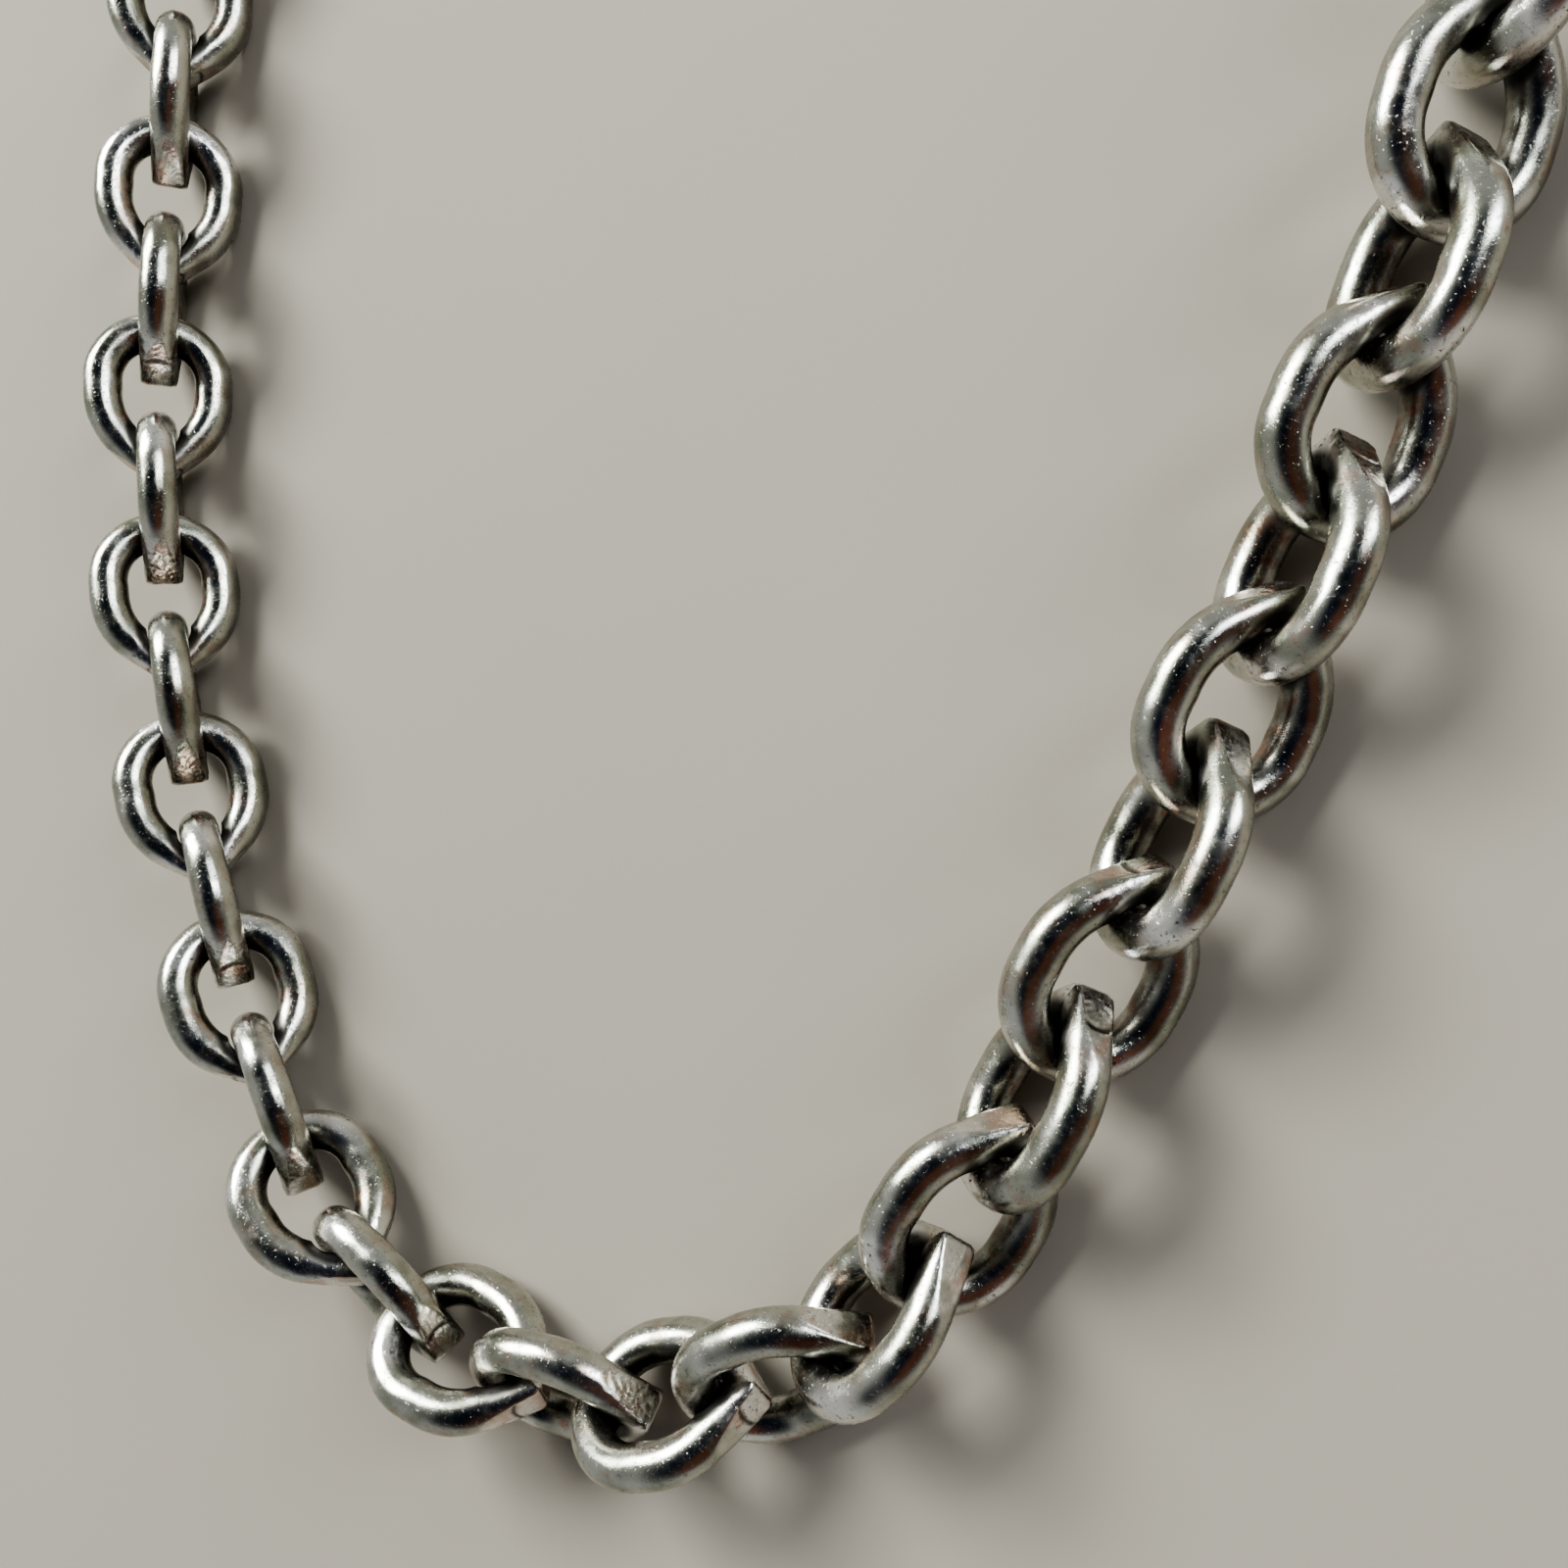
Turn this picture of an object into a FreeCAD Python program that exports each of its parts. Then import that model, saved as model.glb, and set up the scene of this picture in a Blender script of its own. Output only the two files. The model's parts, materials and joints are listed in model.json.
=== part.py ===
"""Heavy silver-plated cable chain necklace, laid out flat in an open U with its clasp undone.

Every link is an egg-shaped ring of round wire: one end is a half circle and the other is a brazed,
mitred V whose two outer faces are filed flat.  The links alternate by a quarter turn about the line
of the chain, and each one hangs in the notch of the V of the link before it.  All lengths are in
millimetres and all angles in degrees.
"""
import FreeCAD, Part
import math
import os

# ---- the link ---------------------------------------------------------------------------------
WIRE_RADIUS = 1.5
END_RADIUS = 4.25           # centreline radius of the round end
FLANK_RADIUS = 5.5          # centreline radius where the sides turn in towards the V
V_HALF_ANGLE = 45.0
LINK_LENGTH = 11.94         # centreline, from the top of the round end to the point of the V
NEST_DEPTH = 3.5            # from the point of the V to the wire that hangs in it
FIT_GAP = 0.20              # daylight between a link and the wire that hangs in it
RIDGE_REACH = 1.06          # from the centreline point of the V to the filed ridge
FACET_SPREAD = 9.0          # the filed faces open this much wider than the arms
FACET_CUTTER_SIZE = 12.0

# ---- the chain --------------------------------------------------------------------------------
LINKS_PER_SIDE = 26
LINK_ROLL = 45.0            # a laid-down cable chain rests on alternate edges
TURNS = {                   # joints counted up from the bottom link, and how far each one turns
    "right": [(4, 15.0), (8, 1.75), (8, 2.0)],
    "left": [(4, 15.0), (8, 3.75)],
}

# ---- the rings at the two ends ----------------------------------------------------------------
CLASP_RING_RADIUS = 3.6
CLASP_RING_WIRE = 0.9
END_RING_RADIUS = 4.0
END_RING_WIRE = 1.1
RING_NEST_DEPTH = 3.15      # the end ring's wire sits deeper in the V than a link's wire

# ---- the lobster clasp, X from its eye towards its nose, Z through its thickness -----------------
EYE_RADIUS = 2.4
EYE_WIRE = 0.9
CLAW_CENTRE = 10.6
CLAW_LENGTH = 15.0
CLAW_WIDTH = 8.8
CLAW_THICKNESS = 3.4
WINDOW_LENGTH = 10.2
WINDOW_WIDTH = 4.2
EDGE_ROUND = 0.7
PIVOT_X = 5.6
PIVOT_Y = 2.75
PIN_RADIUS = 0.5
PIN_RECESS = 0.05           # each end of the pin below the claw's face
SLOT_WIDTH = 2.0
SLOT_CLEARANCE = 0.6        # around the knuckle
SLOT_OVERRUN = 1.0          # the slot runs this far past the start of the opening
GATE_START_X = 7.1          # the claw's wall is open from here to GATE_END_X
GATE_END_X = 14.6

# ---- the lever of the clasp -------------------------------------------------------------------
LEVER_INSET = 0.15          # of the bar's outer face from the claw's outline
LEVER_RECESS = 0.25         # of the bar's flat faces from the claw's
LEVER_WINDOW_INSET = 0.2    # of the bar's inner face from the claw's window
GATE_SHUT_GAP = 0.15        # at the nose
LEVER_SHOULDER_GAP = 0.75   # beside the pivot, so that the lever can swing in
KNUCKLE_RADIUS = 1.75
KNUCKLE_THICKNESS = 0.9     # the spring fills the rest of the slot
KNUCKLE_SIDE_GAP = 0.1      # between the knuckle and the wall of the slot
PIN_PLAY = 0.15             # between the pin and the knuckle's hole
NECK_WIDTH = 1.6            # of the strip from the knuckle to the bar
NECK_DROP = 0.7             # from the pivot down to the strip's lower edge
NECK_OVERLAP = 1.2          # of the strip into the bar, past the start of the opening
TAB_POST_WIDTH = 1.1
TAB_POST_HEIGHT = 2.6
TAB_POST_BACK = 0.9         # from the pivot back to the post's far edge
TAB_POST_LIFT = 0.8         # from the pivot up to the post's foot
TAB_PAD_RADIUS = 0.9
TAB_PAD_WIDTH = 2.2
TAB_PAD_BACK = 0.6
TAB_PAD_LIFT = 3.3

# ---- the spring of the clasp ------------------------------------------------------------------
SPRING_WIRE = 0.13
SPRING_RADIUS = 0.95
SPRING_TURNS = 2
SPRING_PITCH = 2.2 * SPRING_WIRE
SPRING_SIDE_GAP = 0.05      # between the spring and the wall of the slot

FOLDER = "parts"


def turn(axis, degrees):
    """A placement that only turns, about "X", "Y" or "Z"."""
    axes = {"X": FreeCAD.Vector(1, 0, 0), "Y": FreeCAD.Vector(0, 1, 0), "Z": FreeCAD.Vector(0, 0, 1)}
    return FreeCAD.Placement(FreeCAD.Vector(), FreeCAD.Rotation(axes[axis], degrees))


def along(distance):
    """A placement that only moves, along X."""
    return FreeCAD.Placement(FreeCAD.Vector(distance, 0, 0), FreeCAD.Rotation())


def torus(radius, wire_radius, centre, normal):
    return Part.makeTorus(radius, wire_radius, centre, normal)


def largest(shape):
    """The main solid of a cut, without the offcuts."""
    return max(shape.Solids, key=lambda solid: solid.Volume)


# ---- solids, each in its own frame ------------------------------------------------------------

def link_half_path():
    """The centreline of one side, from the top of the round end to past the point of the V."""
    angle = math.radians(V_HALF_ANGLE)
    top_x = -LINK_LENGTH / 2
    centre_x = top_x + END_RADIUS
    inward = FLANK_RADIUS * (1 - math.cos(angle))
    arm_run = (END_RADIUS - inward) / math.tan(angle)
    flank_end_x = LINK_LENGTH / 2 - arm_run
    flank_start_x = flank_end_x - FLANK_RADIUS * math.sin(angle)
    half = angle / 2
    overrun = 2 * WIRE_RADIUS
    top = FreeCAD.Vector(top_x, 0, 0)
    shoulder = FreeCAD.Vector(centre_x, END_RADIUS, 0)
    flank_start = FreeCAD.Vector(flank_start_x, END_RADIUS, 0)
    flank_end = FreeCAD.Vector(flank_end_x, END_RADIUS - inward, 0)
    past_point = FreeCAD.Vector(LINK_LENGTH / 2 + overrun * math.cos(angle),
                                -overrun * math.sin(angle), 0)
    end_middle = FreeCAD.Vector(centre_x - END_RADIUS * math.cos(math.pi / 4),
                                END_RADIUS * math.sin(math.pi / 4), 0)
    flank_middle = FreeCAD.Vector(flank_start_x + FLANK_RADIUS * math.sin(half),
                                  END_RADIUS - FLANK_RADIUS * (1 - math.cos(half)), 0)
    edges = [Part.Arc(top, end_middle, shoulder).toShape(),
             Part.LineSegment(shoulder, flank_start).toShape(),
             Part.Arc(flank_start, flank_middle, flank_end).toShape(),
             Part.LineSegment(flank_end, past_point).toShape()]
    return Part.Wire(edges), top


def facet_cutter():
    """Everything outside the filed face on the +Y side of the V."""
    size = FACET_CUTTER_SIZE
    block = Part.makeBox(size, size, size, FreeCAD.Vector(-size, 0, -size / 2))
    block.rotate(FreeCAD.Vector(), FreeCAD.Vector(0, 0, 1), -(V_HALF_ANGLE + FACET_SPREAD))
    block.translate(FreeCAD.Vector(LINK_LENGTH / 2 + RIDGE_REACH, 0, 0))
    return block


def chain_link():
    """One link: X runs from the round end to the V, and Z is square to the plane of the ring."""
    path, top = link_half_path()
    circle = Part.makeCircle(WIRE_RADIUS, top, FreeCAD.Vector(0, 1, 0))
    half = path.makePipe(Part.Face(Part.Wire([circle])))
    size = 4 * LINK_LENGTH
    other_side = Part.makeBox(size, size, size, FreeCAD.Vector(-size / 2, -size, -size / 2))
    half = largest(half.cut(other_side).cut(facet_cutter()))
    mirrored = half.mirror(FreeCAD.Vector(), FreeCAD.Vector(0, 1, 0))
    whole = half.fuse(mirrored).removeSplitter()
    nest_centre = FreeCAD.Vector(LINK_LENGTH / 2 - NEST_DEPTH + END_RADIUS, 0, 0)
    nest = torus(END_RADIUS, WIRE_RADIUS + FIT_GAP, nest_centre, FreeCAD.Vector(0, 1, 0))
    return largest(whole.cut(nest))


def plain_ring(radius, wire_radius):
    return torus(radius, wire_radius, FreeCAD.Vector(), FreeCAD.Vector(0, 0, 1))


def oval_plate(length, width, thickness):
    """A flat oval centred on the claw."""
    oval = Part.Ellipse(FreeCAD.Vector(CLAW_CENTRE, 0, -thickness / 2), length / 2, width / 2)
    return Part.Face(Part.Wire([oval.toShape()])).extrude(FreeCAD.Vector(0, 0, thickness))


def disc(x, y, radius, thickness, z=0.0):
    """A round plate, square to Z, whose middle plane is at z."""
    return Part.makeCylinder(radius, thickness, FreeCAD.Vector(x, y, z - thickness / 2))


def clasp_body():
    """The hooked claw with its eye, its opening for the lever and the slot at the pivot."""
    claw = oval_plate(CLAW_LENGTH, CLAW_WIDTH, CLAW_THICKNESS)
    claw = claw.makeFillet(EDGE_ROUND, claw.Edges)
    window = oval_plate(WINDOW_LENGTH, WINDOW_WIDTH, 2 * CLAW_THICKNESS)
    gate = Part.makeBox(GATE_END_X - GATE_START_X, CLAW_WIDTH, 2 * CLAW_THICKNESS,
                        FreeCAD.Vector(GATE_START_X, 0, -CLAW_THICKNESS))
    slot = disc(PIVOT_X, PIVOT_Y, KNUCKLE_RADIUS + SLOT_CLEARANCE, SLOT_WIDTH)
    slot_mouth = Part.makeBox(GATE_START_X - PIVOT_X + SLOT_OVERRUN, CLAW_WIDTH, SLOT_WIDTH,
                              FreeCAD.Vector(PIVOT_X, PIVOT_Y - KNUCKLE_RADIUS, -SLOT_WIDTH / 2))
    pin_hole = disc(PIVOT_X, PIVOT_Y, PIN_RADIUS, 2 * CLAW_THICKNESS)
    eye = plain_ring(EYE_RADIUS, EYE_WIRE)
    body = claw.fuse(eye).cut(window).cut(gate).cut(slot).cut(slot_mouth).cut(pin_hole)
    return largest(body)


def lever_bar():
    """The part of the lever that fills the opening in the claw."""
    outside = oval_plate(CLAW_LENGTH - 2 * LEVER_INSET, CLAW_WIDTH - 2 * LEVER_INSET,
                         CLAW_THICKNESS - 2 * LEVER_RECESS)
    inside = oval_plate(WINDOW_LENGTH + 2 * LEVER_WINDOW_INSET, WINDOW_WIDTH + 2 * LEVER_WINDOW_INSET,
                        2 * CLAW_THICKNESS)
    start = GATE_START_X + LEVER_SHOULDER_GAP
    span = Part.makeBox(GATE_END_X - GATE_SHUT_GAP - start, CLAW_WIDTH, 2 * CLAW_THICKNESS,
                        FreeCAD.Vector(start, 0, -CLAW_THICKNESS))
    return outside.cut(inside).common(span)


def clasp_lever():
    """The gate: its bar, the knuckle that turns on the pin, and a thumb tab."""
    level = (SLOT_WIDTH - KNUCKLE_THICKNESS) / 2 - KNUCKLE_SIDE_GAP
    underside = level - KNUCKLE_THICKNESS / 2
    knuckle = disc(PIVOT_X, PIVOT_Y, KNUCKLE_RADIUS, KNUCKLE_THICKNESS, level)
    neck = Part.makeBox(GATE_START_X - PIVOT_X + NECK_OVERLAP, NECK_WIDTH, KNUCKLE_THICKNESS,
                        FreeCAD.Vector(PIVOT_X, PIVOT_Y - NECK_DROP, underside))
    tab_post = Part.makeBox(TAB_POST_WIDTH, TAB_POST_HEIGHT, KNUCKLE_THICKNESS,
                            FreeCAD.Vector(PIVOT_X - TAB_POST_BACK, PIVOT_Y + TAB_POST_LIFT, underside))
    tab_pad = disc(PIVOT_X - TAB_PAD_BACK, PIVOT_Y + TAB_PAD_LIFT, TAB_PAD_RADIUS, TAB_PAD_WIDTH)
    pin_hole = disc(PIVOT_X, PIVOT_Y, PIN_RADIUS + PIN_PLAY, 2 * CLAW_THICKNESS)
    lever = lever_bar().fuse([knuckle, neck, tab_post, tab_pad]).cut(pin_hole)
    return largest(lever.removeSplitter())


def clasp_pin():
    return disc(PIVOT_X, PIVOT_Y, PIN_RADIUS, CLAW_THICKNESS - 2 * PIN_RECESS)


def clasp_spring():
    """The small torsion coil on the pin, beside the lever's knuckle."""
    coil = Part.makeHelix(SPRING_PITCH, SPRING_PITCH * SPRING_TURNS, SPRING_RADIUS)
    section = Part.Wire([Part.makeCircle(SPRING_WIRE, FreeCAD.Vector(SPRING_RADIUS, 0, 0),
                                         FreeCAD.Vector(0, 1, 0))])
    spring = Part.Wire(coil.Edges).makePipeShell([section], True, True)
    spring.translate(FreeCAD.Vector(PIVOT_X, PIVOT_Y, -SLOT_WIDTH / 2 + SPRING_WIRE + SPRING_SIDE_GAP))
    return spring


# ---- where everything lies --------------------------------------------------------------------

def turn_of_joint(side, number):
    """How far the chain turns at a joint of one side, counted from 1 at the bottom link."""
    first = 0
    for count, degrees in TURNS[side]:
        if number <= first + count:
            return degrees
        first += count
    return 0.0


def left_hand_side(frame):
    """The level direction to the left of a piece, in the piece's own frame."""
    forward = frame.Rotation.multVec(FreeCAD.Vector(1, 0, 0))
    level = FreeCAD.Vector(0, 0, 1).cross(forward).normalize()
    return frame.Rotation.inverted().multVec(level)


def next_up_right(frame, degrees, roll):
    """The link that hangs in this link's V, with the chain turning left by so many degrees."""
    side = left_hand_side(frame)
    swing = math.sin(math.radians(degrees))
    about_z = math.asin(swing * side.y)
    about_y = -math.asin(swing * side.z / math.cos(about_z))
    return (frame * along(LINK_LENGTH / 2) * turn("Y", math.degrees(about_y)) * along(-NEST_DEPTH)
            * turn("Z", math.degrees(about_z)) * along(LINK_LENGTH / 2) * turn("X", roll))


def next_up_left(frame, degrees, roll):
    """The link whose V hangs on this link's round end, seen from this link backwards."""
    turned = frame * turn("X", roll)
    side = left_hand_side(turned)
    swing = math.sin(math.radians(degrees))
    about_y = -math.asin(swing * side.z)
    about_z = math.asin(swing * side.y / math.cos(about_y))
    return (turned * along(-LINK_LENGTH / 2) * turn("Z", -math.degrees(about_z)) * along(NEST_DEPTH)
            * turn("Y", -math.degrees(about_y)) * along(-LINK_LENGTH / 2))


def link_frames():
    """Node name to placement, for every link, from the bottom one outwards."""
    bottom = turn("X", LINK_ROLL)
    frames = {"link_bottom": bottom}
    for side, step in (("right", next_up_right), ("left", next_up_left)):
        frame = bottom
        for number in range(1, LINKS_PER_SIDE + 1):
            roll = 90.0 if number % 2 else -90.0
            frame = step(frame, turn_of_joint(side, number), roll)
            frames["link_%s_%02d" % (side, number)] = frame
    return frames


def end_frames(frames):
    """Placements of the end ring, the clasp's ring and the clasp, which follow the last links."""
    last_right = frames["link_right_%02d" % LINKS_PER_SIDE]
    last_left = frames["link_left_%02d" % LINKS_PER_SIDE]
    end_ring = last_right * along(LINK_LENGTH / 2 - RING_NEST_DEPTH + END_RING_RADIUS) * turn("X", 90)
    ring_offset = CLASP_RING_RADIUS - CLASP_RING_WIRE - WIRE_RADIUS - FIT_GAP
    clasp_ring = last_left * along(-LINK_LENGTH / 2 - ring_offset) * turn("X", 90)
    eye_offset = EYE_RADIUS - EYE_WIRE - CLASP_RING_WIRE - FIT_GAP
    clasp = clasp_ring * along(-CLASP_RING_RADIUS - eye_offset) * turn("Z", 180) * turn("X", -90)
    return {"end_ring": end_ring, "clasp_ring": clasp_ring, "clasp": clasp}


def placed(shape, frame):
    copy = shape.copy()
    copy.Placement = frame * copy.Placement
    return copy


def necklace():
    """Node name to solid, with the whole necklace's box centred on the origin and standing on Z = 0.

    Also returns the placement of every link and end piece after that move.
    """
    frames = link_frames()
    frames.update(end_frames(frames))
    link = chain_link()
    solids = {name: placed(link, frame) for name, frame in frames.items() if name.startswith("link_")}
    solids["end_ring"] = placed(plain_ring(END_RING_RADIUS, END_RING_WIRE), frames["end_ring"])
    solids["clasp_ring"] = placed(plain_ring(CLASP_RING_RADIUS, CLASP_RING_WIRE), frames["clasp_ring"])
    for name, make in (("clasp_body", clasp_body), ("clasp_lever", clasp_lever),
                       ("clasp_pin", clasp_pin), ("clasp_spring", clasp_spring)):
        solids[name] = placed(make(), frames["clasp"])
    box = Part.makeCompound(list(solids.values())).optimalBoundingBox(False, False)
    move = FreeCAD.Placement(FreeCAD.Vector(-box.Center.x, -box.Center.y, -box.ZMin), FreeCAD.Rotation())
    solids = {name: placed(solid, move) for name, solid in solids.items()}
    frames = {name: move * frame for name, frame in frames.items()}
    return solids, frames


def main():
    os.makedirs(FOLDER, exist_ok=True)
    solids, _ = necklace()
    for name, solid in solids.items():
        solid.exportStep(os.path.join(FOLDER, name + ".step"))


if __name__ == "__main__":
    main()
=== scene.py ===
"""Looks of the chain necklace: worn, tarnished silver plate on a pale table in soft studio light.

Every link is rebuilt as a fine mesh in the place of its CAD solid: round wire drawn into an egg shape,
its two ends mitred, brazed and filed into a V, with dents, pits, blobs of solder and a seam of its own.
The two rings are rebuilt as bent and soldered wire, the clasp as a softened casting with a hammered rivet.
Lengths in the link's own drawing are millimetres; everything placed in the scene is in metres.
"""

import json
import math

import bpy
import numpy as np
from mathutils import Matrix, Vector

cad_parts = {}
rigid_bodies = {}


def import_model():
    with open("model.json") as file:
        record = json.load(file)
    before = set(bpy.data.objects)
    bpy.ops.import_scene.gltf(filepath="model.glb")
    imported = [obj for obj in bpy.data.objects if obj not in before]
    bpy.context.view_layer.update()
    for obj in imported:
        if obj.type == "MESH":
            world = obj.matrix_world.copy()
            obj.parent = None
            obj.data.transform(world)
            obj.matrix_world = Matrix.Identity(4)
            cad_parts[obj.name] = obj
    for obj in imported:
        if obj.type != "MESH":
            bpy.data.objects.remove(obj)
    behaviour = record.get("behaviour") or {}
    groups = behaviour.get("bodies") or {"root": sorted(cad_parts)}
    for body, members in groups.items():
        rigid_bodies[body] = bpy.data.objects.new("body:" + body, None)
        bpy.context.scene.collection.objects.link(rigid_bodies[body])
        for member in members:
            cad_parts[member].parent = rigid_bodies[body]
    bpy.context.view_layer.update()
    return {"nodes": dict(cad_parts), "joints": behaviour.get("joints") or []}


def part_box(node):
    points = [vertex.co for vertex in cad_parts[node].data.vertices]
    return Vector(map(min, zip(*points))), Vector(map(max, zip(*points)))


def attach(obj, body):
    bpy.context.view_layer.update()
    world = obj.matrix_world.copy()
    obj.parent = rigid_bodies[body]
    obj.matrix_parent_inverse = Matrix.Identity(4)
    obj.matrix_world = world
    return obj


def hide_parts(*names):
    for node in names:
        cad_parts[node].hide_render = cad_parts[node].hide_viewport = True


MM = 0.001

# ---- the link, as the CAD model draws it, millimetres -------------------------------------------
WIRE_RADIUS = 1.5
END_RADIUS = 4.25
FLANK_RADIUS = 5.5
V_HALF_ANGLE = math.radians(45.0)
LINK_LENGTH = 11.94
NEST_DEPTH = 3.5
NEST_CLEARANCE = 0.17
RIDGE_REACH = 1.06
FACET_ANGLE = math.radians(54.0)    # of a filed face to the link's long axis

# ---- how finely a link is drawn ------------------------------------------------------------------
AROUND = 64
END_STEPS = 34
SIDE_STEPS = 6
FLANK_STEPS = 22
ARM_STEPS = 44
RING_STEPS = 200
MITRE_ROUNDS = 6            # of working out the filed radius and the mitre from each other
LEAST_LEAN = 0.05           # a point that leans less than this towards the filed face stays uncut
UNCUT = 9.0
THINNEST = 0.2

# ---- wear and workmanship, millimetres; a size is how far apart the features of a noise are ------
EDGE_SOFTNESS = 0.07        # of the edges round a filed face
RIDGE_BLUNTING = 0.07       # worn off the sharp ridge of the V
RIDGE_ROUNDING = 0.14
CORNER_ROUNDING = 0.15      # worn off the two ends of the ridge
DENT_SIZE = 2.6
DENT_DEPTH = 0.035
RIPPLE_SIZE = 0.8
RIPPLE_DEPTH = 0.010
PATCH_SIZE = 2.2            # of the rough patches near both ends of a link
SPECKLE_SIZE = 0.28
GRIT_SIZE = 0.16
SPECKLE_DEPTH = 0.022
FILE_MARK_DEPTH = 0.007
FILE_MARK_SPACING = 0.16
FILE_MARK_WANDER = 0.6
SEAM_DEPTH = 0.07
SEAM_WIDTH = 0.09
BLOB_HEIGHT = 0.10
SWING_ROOM = 0.035          # worn off where two links meet

# ---- the rings and the clasp, millimetres --------------------------------------------------------
RING_DENT_SIZE = 1.4
RING_RIPPLE_SIZE = 0.5
RING_CUT_WIDTH = 0.054
RING_BEAD_LENGTH = 0.45     # of the solder on the cut
RING_BEAD_SIZE = 0.7
RING_BEAD_HEIGHT = 0.035
RING_SLIP = 0.05            # of one end past the other
CAST_BODIES = {"clasp_body": "clasp", "clasp_lever": "clasp_lever"}
CAST_GRAIN = 0.08
CAST_SOFTENING = 5
CAST_DENT_SIZE = 1.6
CAST_DENT_DEPTH = 0.030
CAST_SKIN_SIZE = 0.30
CAST_SKIN_DEPTH = 0.008
CAST_PIT_SIZE = 0.45
CAST_PIT_DEPTH = 0.05
RIVET_HEAD = 0.78           # radius of the hammered ends of the pin
RIVET_RISE = 0.20
RIVET_RECESS = 0.05         # of the CAD pin's ends below the claw's faces
RIVET_FLAT = 0.02           # angle left flat on top of the dome, radians
RIVET_DOME_STEPS = 9

# ---- camera --------------------------------------------------------------------------------------
CAMERA_FROM_BOTTOM_LINK = Vector((0.0571, 0.0370, 0.0842))
AIM_FROM_BOTTOM_LINK = Vector((0.0148, 0.0411, 0.0))
CAMERA_UP = Vector((-0.013, 0.998, 0.055))
LENS = 33.75                # for a 36 mm wide picture

FLOOR_RADIUS = 1.6
FLOOR_CORNERS = 96


# ---- noise ---------------------------------------------------------------------------------------

def hashed(cells, seed):
    """A repeatable value from 0 to 1 for each whole-numbered cell."""
    mixed = (cells[..., 0] * 73856093) ^ (cells[..., 1] * 19349663) ^ (cells[..., 2] * 83492791)
    mixed = (mixed ^ (seed * 2654435761)) & 0xFFFFFFFF
    mixed = ((mixed ^ (mixed >> 15)) * 2246822519) & 0xFFFFFFFF
    mixed = ((mixed ^ (mixed >> 13)) * 3266489917) & 0xFFFFFFFF
    return ((mixed ^ (mixed >> 16)) & 0xFFFFFF) / float(0xFFFFFF)


def value_noise(points, size, seed):
    """Smooth noise from -1 to 1 whose features are about one size across."""
    scaled = points / size
    base = np.floor(scaled).astype(np.int64)
    part = scaled - base
    part = part * part * (3 - 2 * part)
    total = np.zeros(points.shape[:-1])
    for corner in np.ndindex(2, 2, 2):
        offset = np.array(corner)
        weight = np.prod(np.where(offset == 1, part, 1 - part), axis=-1)
        total += weight * hashed(base + offset, seed)
    return 2 * total - 1


def smooth_step(low, high, values):
    """From 0 at low to 1 at high, level at both ends; low may be the larger one."""
    t = np.clip((values - low) / (high - low), 0, 1)
    return t * t * (3 - 2 * t)


def soft_min(a, b, softness):
    """The smaller of two values, with the corner between them rounded."""
    h = np.clip(0.5 + 0.5 * (b - a) / softness, 0, 1)
    return b + (a - b) * h - softness * h * (1 - h)


# ---- the shape of a link -------------------------------------------------------------------------

def half_path():
    """Points and directions of the centreline, from the top of the round end to the V's straight arm.

    The arm itself is drawn apart, because it ends on a mitre.
    """
    inward = FLANK_RADIUS * (1 - math.cos(V_HALF_ANGLE))
    arm_run = (END_RADIUS - inward) / math.tan(V_HALF_ANGLE)
    arm_start_x = LINK_LENGTH / 2 - arm_run
    flank_x = arm_start_x - FLANK_RADIUS * math.sin(V_HALF_ANGLE)
    centre_x = -LINK_LENGTH / 2 + END_RADIUS
    points = []
    directions = []
    for i in range(END_STEPS):
        a = math.pi / 2 * i / END_STEPS
        points.append((centre_x - END_RADIUS * math.cos(a), END_RADIUS * math.sin(a)))
        directions.append((math.sin(a), math.cos(a)))
    for i in range(SIDE_STEPS):
        points.append((centre_x + (flank_x - centre_x) * i / SIDE_STEPS, END_RADIUS))
        directions.append((1.0, 0.0))
    for i in range(FLANK_STEPS):
        a = V_HALF_ANGLE * i / FLANK_STEPS
        points.append((flank_x + FLANK_RADIUS * math.sin(a),
                       END_RADIUS - FLANK_RADIUS * (1 - math.cos(a))))
        directions.append((math.cos(a), -math.sin(a)))
    arm_start = (arm_start_x, END_RADIUS - inward)
    return np.array(points), np.array(directions), np.array(arm_start)


def facet_depth(points):
    """How far each point lies outside the filed face on the +Y side."""
    x = points[..., 0] - LINK_LENGTH / 2 - RIDGE_REACH
    return x * math.sin(FACET_ANGLE) + points[..., 1] * math.cos(FACET_ANGLE)


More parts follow.
